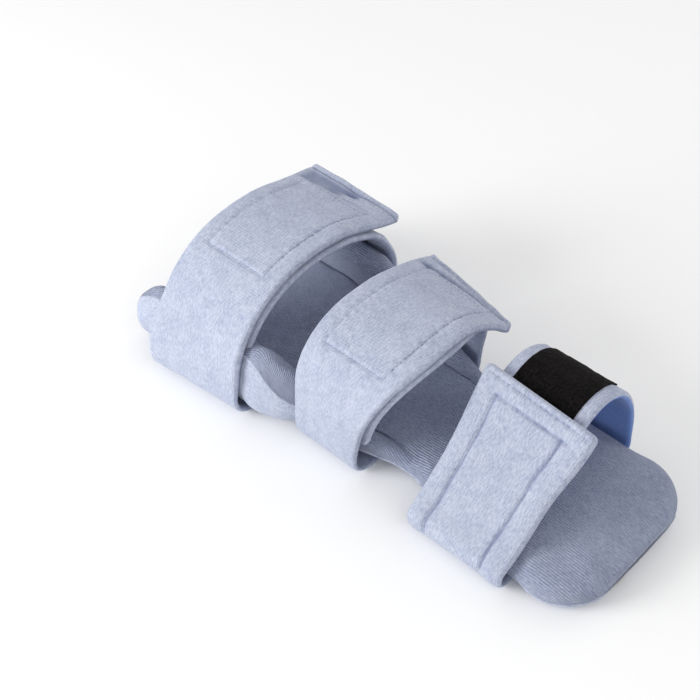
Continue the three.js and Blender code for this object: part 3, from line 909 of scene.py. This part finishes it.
def hand_near_warp(line, edges):
    """The far corner of the free end flares outwards and is cut back a little."""
    end, width = line["length"], edges["width"]

    def warp(s, t):
        weight = smooth(s, end - 60, end)
        across = t / width
        bow = np.sin(np.pi * np.clip((s - end + 120) / 120, 0, 1))
        flare = 7.0 * weight * across ** 1.5 - 4.0 * weight * (1 - across) + 2.0 * bow * across
        back = -5.0 * weight * across
        y, z, ny, nz = on_path(line, s)
        return np.stack([flare, nz * back, -ny * back], axis=-1)
    return warp


line = hand_near_path()
edges = straight_edges(line, "near", (0.5, 5.5))
relief = hand_near_relief(line, edges)
surface = band_surface(line, edges, thickness(line, edges, HAND_THICK), relief, 3.5,
                       hand_near_warp(line, edges))
surfaces["hand", "near"] = (line, edges, surface)
piece = band("hand_near_band", line, edges, surface, (heather, inner_knit), relief)
hinge_blend(piece)
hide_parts("hand_near_flap", "hand_strap_base")

line = hand_far_path()
edges = straight_edges(line, "far", (1.0, 8.0), flip=True)
surface = band_surface(line, edges, thickness(line, edges, FAR, flip=True), far_relief(60), 8)
surfaces["hand", "far"] = (line, edges, surface)
piece = band("hand_far_band", line, edges, surface, (heather, lining))
hinge_blend(piece)
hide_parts("hand_far_flap")


# %% [markdown]
# ## Hook and pile patches
# Each strap closes with a black hook patch inside its near flap and a black pile patch on its far
# flap. A patch could be a black area painted on the band, but a real one has an edge that stands up,
# so it is a thin pad of its own, laid on the band's surface.

# %% Patches
def finish(piece, material):
    """One material on all faces of a piece."""
    piece.data.polygons.foreach_set("material_index", np.zeros(len(piece.data.polygons), np.int32))
    piece.data.materials.append(material)


def patch(name, under, s_range, t_range, thick, side, material, seed):
    """A thin pad on the surface `under`: rounded corners, a soft uneven face."""
    length, width = s_range[1] - s_range[0], t_range[1] - t_range[0]

    def surface(s, t, face):
        near_rim = np.minimum(np.minimum(s, length - s), np.minimum(t, width - t))
        s2, t2 = round_corners(s, t, length, width, 4)
        lift = rim_height(near_rim, 0.8)
        at = s_range[0] + s2, t_range[0] + t2
        base = under(*at, side)
        along = under(at[0] + 0.5, at[1], side) - base
        across = under(at[0], at[1] + 0.5, side) - base
        up = np.cross(along, across)
        up *= -side / np.linalg.norm(up, axis=-1, keepdims=True)
        height = thick / 2 + face * lift * (thick / 2 + 0.12 * waves(s2, t2, 3, seed) * (face > 0))
        return base + up * (height + 0.05)[..., None]

    piece = pad(name, rows(length, 0.8, 1.3, 3), rows(width, 0.8, 1.3, 3), surface)
    finish(piece, material)
    return piece


def hook_patch(name, share):
    """The hook patch inside a near flap."""
    line, edges, surface = surfaces[name, "near"]
    (s0, t0), (s1, t1) = patch_place(line, edges, share)
    piece = patch(f"{name}_hooks", surface, (s0, s1), (t0, t1), 0.7, -1, hooks, 81)
    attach(piece, f"{name}_near")
    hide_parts(f"{name}_hook_patch")


def pile_patch(name, share, room):
    """The pile patch on a far flap; share counts from the far flap's free end."""
    _, edges, surface = surfaces[name, "far"]
    s_range = tuple(edges["hinge"] * part for part in share)
    t_range = room, edges["width"] - room
    piece = patch(f"{name}_pile", surface, s_range, t_range, 0.9, 1, pile, 91)
    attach(piece, f"{name}_far")
    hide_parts(f"{name}_pile_patch")


hook_patch("forearm", (0.50, 0.86))
hook_patch("wrist", (0.50, 0.84))
hook_patch("hand", (0.25, 0.9))
pile_patch("forearm", (0.08, 0.56), 6)
pile_patch("wrist", (0.12, 0.58), 8)
pile_patch("hand", (0.10, 0.66), 8)


# %% [markdown]
# ## Stitches
# The thread lies in the furrows as a row of short capsules. Real capsules catch the light at every
# distance, and they follow the surface because each end is placed by the band's own function.

# %% Quilting stitches
def stitch_box(line, edges, share, corner=4):
    """Runs of (s, t) round a patch's outline, which stop short of its corners."""
    (s0, t0), (s1, t1) = patch_place(line, edges, share)
    return [[(s0 + corner, t0), (s1 - corner, t0)], [(s1, t0 + corner), (s1, t1 - corner)],
            [(s1 - corner, t1), (s0 + corner, t1)], [(s0, t1 - corner), (s0, t0 + corner)]]


for name in STRAPS:
    line, edges, surface = surfaces[name, "near"]
    piece = stitches(f"{name}_patch_stitches", surface, stitch_box(line, edges, PATCH_SHARE[name]))
    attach(piece, f"{name}_near")
line, edges, surface = surfaces["hand", "near"]
end, width, low = line["length"], edges["width"], edges["hinge"] + 2
rows_at = [end - row for row in END_ROWS]
lines_at = QUILT_LINES[0], width - QUILT_LINES[1]
runs = [[(rows_at[0], 4), (rows_at[0], width - 4)], [(rows_at[1], 12), (rows_at[1], width - 13)]]
runs += [[(low, at), (end - 14, at)] for at in lines_at]
piece = stitches("hand_strap_stitches", surface, runs, radius=0.26)
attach(piece, "hand_near")


# %% [markdown]
# ## The padded body
# The trough, the wrist and the pan are one flat padded panel whose sides are bent up round the
# forearm. Its section is a flat floor, a round corner and a straight wall. The walls lean inwards
# over the forearm and fade away at the hand, where the panel widens into the pan. One function of the
# place along the splint and across it gives all of that without a seam between trough and pan.

# %% The panel's section
# X, half width near and far, rim height near and far above the underside, bend of the walls in
# degrees, thickness of the padding, radius of the corner
SECTION = np.array([
    (-178, 73.0, 71.0, 40.0, 42.0, 102, 14, 16), (-158, 73.0, 71.0, 49.0, 49.0, 102, 14, 16),
    (-100, 73.5, 71.0, 51.7, 51.7, 102, 14, 16), (-71, 73.5, 70.0, 52.7, 52.7, 102, 14, 16),
    (-64, 75.0, 68.0, 57.0, 52.7, 102, 14, 16),
    (-46, 69.0, 60.0, 47.7, 45.7, 102, 14, 16), (-34, 58.5, 54.0, 39.7, 40.7, 102, 14, 16),
    (0, 56.0, 53.0, 27.7, 28.7, 102, 14, 16), (30, 47.0, 47.0, 19.4, 19.4, 96, 14, 16),
    (42, 46.0, 46.0, 8.4, 8.4, 60, 17, 16), (54, 46.0, 46.0, 0.1, 0.1, 3, 19, 20),
    (178, 62.0, 62.0, 0.02, 0.02, 1, 19, 20),
])
NECK = 46  # half width at the wrist, where the pan starts
PAN_SHOULDER, PAN_NEAR, PAN_FAR, PAN_CORNER = 86.0, 60.0, 62.0, 34.0
HEEL_CORNER = 18.0


def section_at(x):
    """The section's values at x, eased by averaging over 12 mm."""
    spread = np.clip(x[..., None] + np.linspace(-6, 6, 9), HEEL, TIP)
    near, far, near_rim, far_rim, bend, thick, radius = (
        np.interp(spread, SECTION[:, 0], SECTION[:, k]).mean(axis=-1) for k in range(1, 8))
    in_pan = smooth(x, 46, 56)
    widen = smooth(x, 50, PAN_SHOULDER)
    near = near * (1 - in_pan) + NECK * in_pan + (PAN_NEAR - NECK) * widen
    far = far * (1 - in_pan) + NECK * in_pan + (PAN_FAR - NECK) * widen
    near = near + (PAN_FAR - PAN_NEAR) * smooth(x, 128, 148)
    past = np.clip(x - (TIP - PAN_CORNER), 0, PAN_CORNER)
    round_off = PAN_CORNER - np.sqrt(np.maximum(PAN_CORNER ** 2 - past ** 2, 0))
    return near - round_off, far - round_off, near_rim, far_rim, np.radians(bend), thick, radius


def panel_point(x, v):
    """Outside of the panel at x and v, which runs from -1 (near rim) to 1 (far rim).

    The run from the middle is flat, then a round corner, then a straight wall. Returns the place, the
    inward normal, the whole run and the thickness.
    """
    near, far, near_rim, far_rim, bend, thick, radius = section_at(x)
    half = np.where(v < 0, near, far)
    rim = np.where(v < 0, near_rim, far_rim)
    wall = np.maximum(rim - radius * (1 - np.cos(bend)), 0) / np.sin(bend)
    reach = np.where(bend > np.pi / 2, radius, radius * np.sin(bend) + wall * np.cos(bend))
    flat = half - reach
    total = flat + radius * bend + wall
    run = np.abs(v) * total
    turn = np.clip((run - flat) / radius, 0, bend)
    past = np.maximum(run - flat - radius * bend, 0)
    y = np.minimum(run, flat) + radius * np.sin(turn) + past * np.cos(bend)
    z = FLOOR + radius * (1 - np.cos(turn)) + past * np.sin(bend)
    side = np.where(v < 0, -1.0, 1.0)
    place = np.stack([x, MIDDLE + side * y, z], axis=-1)
    inward = np.stack([np.zeros_like(x), -side * np.sin(turn), np.cos(turn)], axis=-1)
    return place, inward, total, thick


def panel_grid(x, v, shrink):
    """The panel's outer and inner face: half the thickness to each side of the middle, a round rim."""
    _, _, total, _ = panel_point(x, v)
    corner = HEEL_CORNER
    a = np.clip(1 - (x - HEEL) / corner, 0, 1)
    b = np.clip(1 - (1 - np.abs(v)) * total / corner, 0, 1)
    x2 = x + corner * (a - a * np.sqrt(1 - b * b / 2))
    v2 = v - np.sign(v) * corner * (b - b * np.sqrt(1 - a * a / 2)) / total
    place, inward, total, thick = panel_point(x2, v2)
    side_room = (1 - np.abs(v)) * total
    past_x = np.maximum(x - (TIP - PAN_CORNER), 0)
    past_y = np.maximum(np.abs(place[..., 1] - MIDDLE) - (PAN_FAR - PAN_CORNER), 0)
    tip_room = np.where(past_x > 0, PAN_CORNER - np.hypot(past_x, past_y), side_room)
    room = np.minimum(np.minimum(side_room, x - HEEL), np.maximum(tip_room, 0))
    room = np.where(np.abs(v) > 0.999999, 0, room)
    half = thick / 2
    lift = rim_height(room, half) * (half - shrink)
    outside = place + inward * (half - lift)[..., None]
    inside = place + inward * (half + lift)[..., None]
    return outside, inside


def panel_mesh(name, x, v, shrink):
    """The whole panel as one closed mesh; its flat pattern has the true lengths across."""
    grid_x, grid_v = np.meshgrid(x, v, indexing="ij")
    outside, inside = panel_grid(grid_x, grid_v, shrink)
    points = np.concatenate([inside.reshape(-1, 3), outside[1:-1, 1:-1].reshape(-1, 3)])
    middle = len(v) // 2

    def run_across(grid):
        steps = np.linalg.norm(np.diff(grid, axis=1), axis=2)
        return np.concatenate([np.zeros((len(x), 1)), steps.cumsum(axis=1)], 1)

    along_inside, along_outside = run_across(inside), run_across(outside)
    across = along_inside - along_inside[:, [middle]]
    near_side = across[:, [0]] - along_outside
    far_side = across[:, [-1]] + along_outside[:, [-1]] - along_outside
    under_across = np.where(grid_v < 0, near_side, far_side)
    upper = np.stack([grid_x - HEEL, across], axis=-1)
    lower = np.stack([grid_x - HEEL, under_across], axis=-1)
    cloth = np.concatenate([upper.reshape(-1, 2), lower[1:-1, 1:-1].reshape(-1, 2)])
    top, under = pad_faces(len(x), len(v))
    return make_mesh(name, points, np.concatenate([top, under]), cloth)


PANEL_X = HEEL + rows(TIP - HEEL, 9.5, 3.6, 4)
PANEL_V = rows(2.0, 0.09, 0.034, 4) - 1
print("panel grid", len(PANEL_X), "by", len(PANEL_V))


# %% [markdown]
# ## Filling the panel
# The knit bag is sewn a little too small and filled with foam. The bag could be puffed up by a formula,
# but a cloth simulation with pressure inside finds the swellings and soft wrinkles by itself. It works
# on both sides of the seam, which stays where it is, as do the heel and the fingertip end.

# %% Cloth simulation
SWELL_FRAMES, SWELL_PRESSURE, SWELL_CAP = 20, 4, 4.0
SEAM_WIDTH = 0.017  # share of the run that the seam holds
TUCK = 1.2  # how much flatter the bag is than its filling, before it swells


def seam_share(x):
    """Where the cover meets the liner, as a share of the run from the middle to the rim."""
    return 0.8 + 0.15 * (1 - smooth(x, -76, -36)) + 0.17 * smooth(x, 24, 52)


def coordinates(mesh):
    """A mesh's points in millimetres."""
    flat = np.empty(len(mesh.vertices) * 3, np.float32)
    mesh.vertices.foreach_get("co", flat)
    return flat.reshape(-1, 3).astype(float) / MM


def move_points(piece, places):
    """Puts a mesh's points at places in millimetres."""
    piece.data.vertices.foreach_set("co", (places * MM).astype(np.float32).ravel())
    piece.data.update()


def swell(piece, held):
    """Inflates a closed piece; held points stay, and none moves further than the cap."""
    before = coordinates(piece.data)
    group = piece.vertex_groups.new(name="sewn")
    group.add(held.tolist(), 1.0, "REPLACE")
    cloth = piece.modifiers.new("cloth", "CLOTH")
    cloth.settings.use_pressure = True
    cloth.settings.uniform_pressure_force = SWELL_PRESSURE
    cloth.settings.effector_weights.gravity = 0
    cloth.settings.vertex_group_mass = "sewn"
    cloth.settings.quality = 6
    for step in range(SWELL_FRAMES):
        scene.frame_set(step + 1)
    done = piece.evaluated_get(bpy.context.evaluated_depsgraph_get())
    move = coordinates(done.data) - before
    size = np.linalg.norm(move, axis=1, keepdims=True)
    after = before + move * np.minimum(1, SWELL_CAP / np.maximum(size, 1e-9))
    piece.modifiers.clear()
    piece.vertex_groups.clear()
    scene.frame_set(1)
    move_points(piece, after)
    return float(size.max())


liner = panel_mesh("padded_liner", PANEL_X, PANEL_V, TUCK)
down, over = len(PANEL_X), len(PANEL_V)
inner_index = np.arange((down - 2) * (over - 2)).reshape(down - 2, over - 2) + down * over
near_seam = np.abs(np.abs(PANEL_V)[None, 1:-1] - seam_share(PANEL_X)[1:-1, None]) < SEAM_WIDTH
border = np.concatenate([np.arange(over), np.arange(over) + (down - 1) * over])
largest = swell(liner, np.concatenate([inner_index[near_seam], border]))
print("largest swelling, mm:", round(largest, 2))

# %% [markdown]
# ## Liner, cover and seam
# The liner is the filled panel in rib knit. The cover is a thin heather skin over its outside. It
# could be shrinkwrapped onto the liner, but it is made from the filled panel's own points, so the two
# fit wherever the filling swells. Stitches run along the cover's edge.

# %% Liner and cover
REST_GAP = 0.3  # the liner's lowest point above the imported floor
COVER_FLOOR = 3.05  # the cover's, above the table


def tip_sag(x):
    """The fingertip end lies 2.4 mm lower, beyond the last strap."""
    return 2.4 * smooth(x, 138, 158)


filled = coordinates(liner.data)
rest_height = FLOOR + REST_GAP - tip_sag(filled[:, 0])
low_half = 1 - smooth(filled[:, 2], 6, 14)
filled[:, 2] -= tip_sag(filled[:, 0]) * low_half
filled[:, 2] = np.maximum(filled[:, 2], rest_height)
move_points(liner, filled)
outer_grid = filled[:down * over].reshape(down, over, 3).copy()
inner_grid = outer_grid.copy()
outer_grid[1:-1, 1:-1] = filled[inner_index]


def on_grid(grid, x, v):
    """A grid's value at x, v, by straight steps between its rows."""
    i = np.clip(np.searchsorted(PANEL_X, x) - 1, 0, down - 2)
    j = np.clip(np.searchsorted(PANEL_V, v) - 1, 0, over - 2)
    a = ((x - PANEL_X[i]) / (PANEL_X[i + 1] - PANEL_X[i]))[..., None]
    b = ((v - PANEL_V[j]) / (PANEL_V[j + 1] - PANEL_V[j]))[..., None]
    return ((grid[i, j] * (1 - a) + grid[i + 1, j] * a) * (1 - b)
            + (grid[i, j + 1] * (1 - a) + grid[i + 1, j + 1] * a) * b)


def outward_normals(grid):
    """Unit normals of the outer grid, pointing away from the filling."""
    along, across = np.gradient(grid, axis=0), np.gradient(grid, axis=1)
    normal = np.cross(across, along)
    normal /= np.maximum(np.linalg.norm(normal, axis=-1, keepdims=True), 1e-9)
    return normal * np.sign(-normal[down // 2, over // 2, 2])


outer_normal = outward_normals(outer_grid)
COVER_START, COVER_END = HEEL + 0.6, TIP - 1.6
COVER_LENGTH, COVER_WIDTH = COVER_END - COVER_START, 200
COVER_THICK, COVER_LIFT = 2.2, 0.95
EDGE_SEAM = 3.4  # from the cover's edge to its seam


def cover_surface(s, t, side):
    """The filled panel's outside plus the cover's height: s runs along X, t from seam to seam."""
    x = COVER_START + s
    share = t / (COVER_WIDTH / 2) - 1
    v = share * seam_share(x)
    edge = np.minimum(np.minimum(s, COVER_LENGTH - s), np.minimum(t, COVER_WIDTH - t) * 1.05)
    lift = rim_height(edge, 1.3)
    normal = on_grid(outer_normal, x, v)
    normal /= np.linalg.norm(normal, axis=-1, keepdims=True)
    soft = 0.16 * waves(s, t, 17, 31) + 0.1 * waves(s, t, 6, 32)
    soft = soft - 0.5 * groove(edge - EDGE_SEAM, 0.9) * (side > 0)
    middle = COVER_LIFT - COVER_THICK / 2
    height = middle + side * lift * (COVER_THICK / 2 + soft * (side > 0))
    points = on_grid(outer_grid, x, v) + normal * height[..., None]
    lowest = COVER_FLOOR - tip_sag(points[..., 0]) + 0.2 * (side < 0)
    points[..., 2] = np.maximum(points[..., 2], lowest)
    return points


liner.data.materials.append(rib)
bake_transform(liner)
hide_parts("forearm_liner", "wrist_sleeve", "hand_liner")
cover = pad("heather_cover", rows(COVER_LENGTH, 1.3, 2.4, 4), rows(COVER_WIDTH, 1.3, 2.4, 4),
            cover_surface)
finish(cover, heather)
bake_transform(cover)
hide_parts("forearm_cover", "hand_cover")
print("liner", len(liner.data.polygons), "faces, cover", len(cover.data.polygons))

# %% Seam stitches
run_s = np.linspace(6, COVER_LENGTH - 6, 60)
seam_runs = [np.stack([run_s, np.full(60, at)], axis=1) for at in (EDGE_SEAM, COVER_WIDTH - EDGE_SEAM)]
end_s = COVER_LENGTH - EDGE_SEAM
seam_runs.append(np.stack([np.full(30, end_s), np.linspace(8, COVER_WIDTH - 8, 30)], axis=1))
seam = stitches("seam_stitches", cover_surface, seam_runs)
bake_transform(seam)


# %% [markdown]
# ## Inside the panel
# A foam core fills the bag. Two thin plates lie in it, joined by a bendable metal strip with rivets.
# The plates and rivets are stiff and stay as they were packed, in plastic and metal. The strip is a
# finely divided copy. The foam lies between the filled panel's two faces, at half of their distance.

# %% Foam, plates, strip and tab
def foam_material():
    """Open-cell foam: pale, with small pores."""
    material, tree, shader = base_material("foam", 0.9)
    place = add(tree, "ShaderNodeTexCoord").outputs["Object"]
    pores = add(tree, "ShaderNodeTexVoronoi", inputs={"Scale": 900.0})
    tree.links.new(place, pores.inputs["Vector"])
    share = span(tree, pores.outputs["Distance"], 0.1, 0.7)
    tree.links.new(mixed(tree, share, srgb(150, 150, 145), srgb(226, 224, 214)), shader.inputs["Base Color"])
    bumped(tree, shader, pores.outputs["Distance"], 0.0004)
    return material


def brushed_material(name, low, high, metallic, roughness):
    """A drawn or moulded sheet: fine streaks along X in its colour and its gloss."""
    material, tree, shader = base_material(name, roughness, metallic=metallic)
    place = add(tree, "ShaderNodeTexCoord").outputs["Object"]
    streaks = noise(tree, stretched(tree, place, (90, 2600, 2600)), 1.0, 3.0)
    tree.links.new(mixed(tree, streaks, low, high), shader.inputs["Base Color"])
    gloss = span(tree, streaks, 0.3, 0.7, roughness - 0.08, roughness + 0.12)
    tree.links.new(gloss, shader.inputs["Roughness"])
    bumped(tree, shader, streaks, 0.00005)
    return material


foam = foam_material()
plate_finish = brushed_material("plate plastic", srgb(206, 208, 210), srgb(228, 230, 232), 0.0, 0.5)
steel = brushed_material("drawn metal", srgb(150, 152, 156), srgb(196, 198, 202), 1.0, 0.35)

CORE_SHARE = 0.5  # of the way from the filling's middle to the panel's faces
inner_part, outer_part = inner_grid[4:-4, 5:-5], outer_grid[4:-4, 5:-5]
middle_part = (outer_part + inner_part) / 2
plump = np.full(middle_part.shape[:2] + (1,), CORE_SHARE)
plump[[0, -1]], plump[:, [0, -1]] = 0, 0
core_top = middle_part + plump * (inner_part - middle_part)
core_under = middle_part + plump * (outer_part - middle_part)
core_points = np.concatenate([core_top.reshape(-1, 3), core_under[1:-1, 1:-1].reshape(-1, 3)])
core = make_mesh("foam_core", core_points, np.concatenate(pad_faces(*middle_part.shape[:2])))
core.data.materials.append(foam)
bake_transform(core)
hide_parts("forearm_foam", "wrist_foam", "hand_foam")

strip_low, strip_high = box_mm("wrist_strip")
strip_size = strip_high - strip_low
STRIP_RIM, STRIP_CORNER = 0.8, 6


def strip_surface(s, t, side):
    """The flat metal strip, its edges slightly rounded."""
    edge = np.minimum(np.minimum(s, strip_size[0] - s), np.minimum(t, strip_size[1] - t))
    height = strip_size[2] / 2 * (1 + side * rim_height(edge, STRIP_RIM))
    s, t = round_corners(s, t, strip_size[0], strip_size[1], STRIP_CORNER)
    return np.stack([strip_low[0] + s, strip_low[1] + t, strip_low[2] + height], axis=-1)


strip_rows = [rows(size, STRIP_RIM, 2.5, 3) for size in strip_size[:2]]
strip = pad("bending_strip", *strip_rows, strip_surface)
finish(strip, steel)
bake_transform(strip)
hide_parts("wrist_strip")

for node, shown in frame["nodes"].items():
    if node in ("forearm_plate", "hand_plate") or "rivet" in node:
        for slot in shown.material_slots:
            slot.material = steel if "rivet" in node else plate_finish


TAB_SIZE, TAB_RIM = 12, 0.6
TAB_FROM_TIP, TAB_V, TAB_RUN = 15, -0.44, 62  # its start along X and across, and the half run there


def tab_surface(s, t, side):
    """A small pile tab sewn under the fingertip edge: it lies on the cover's outside."""
    x, v = TIP - TAB_FROM_TIP + s, TAB_V + t / TAB_RUN
    edge = np.minimum(np.minimum(s, TAB_SIZE - s), np.minimum(t, TAB_SIZE - t))
    lift = rim_height(edge, TAB_RIM)
    normal = on_grid(outer_normal, x, v)
    points = on_grid(outer_grid, x, v) + normal * (COVER_LIFT + 0.8 + side * lift * 0.7)[..., None]
    points[..., 2] = np.maximum(points[..., 2], 0.1)
    return points


tab = pad("fingertip_tab", rows(TAB_SIZE, TAB_RIM, 0.9, 3), rows(TAB_SIZE, TAB_RIM, 0.9, 3), tab_surface)
finish(tab, pile)
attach(tab, "hand_shell")
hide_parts("tip_tab")

# %% [markdown]
# ## The floor
# A plain pale plane stands in for the table. It isn't part of the object.

# %% The floor
floor_mesh = bpy.data.meshes.new("floor")
floor_mesh.from_pydata([(-3, -3, 0), (3, -3, 0), (3, 3, 0), (-3, 3, 0)], [], [(0, 1, 2, 3)])
floor = bpy.data.objects.new("floor", floor_mesh)
scene.collection.objects.link(floor)
white = bpy.data.materials.new("pale floor")
white.use_nodes = True
white.node_tree.nodes["Principled BSDF"].inputs["Base Color"].default_value = (0.98, 0.98, 0.98, 1)
white.node_tree.nodes["Principled BSDF"].inputs["Roughness"].default_value = 0.9
floor_mesh.materials.append(white)
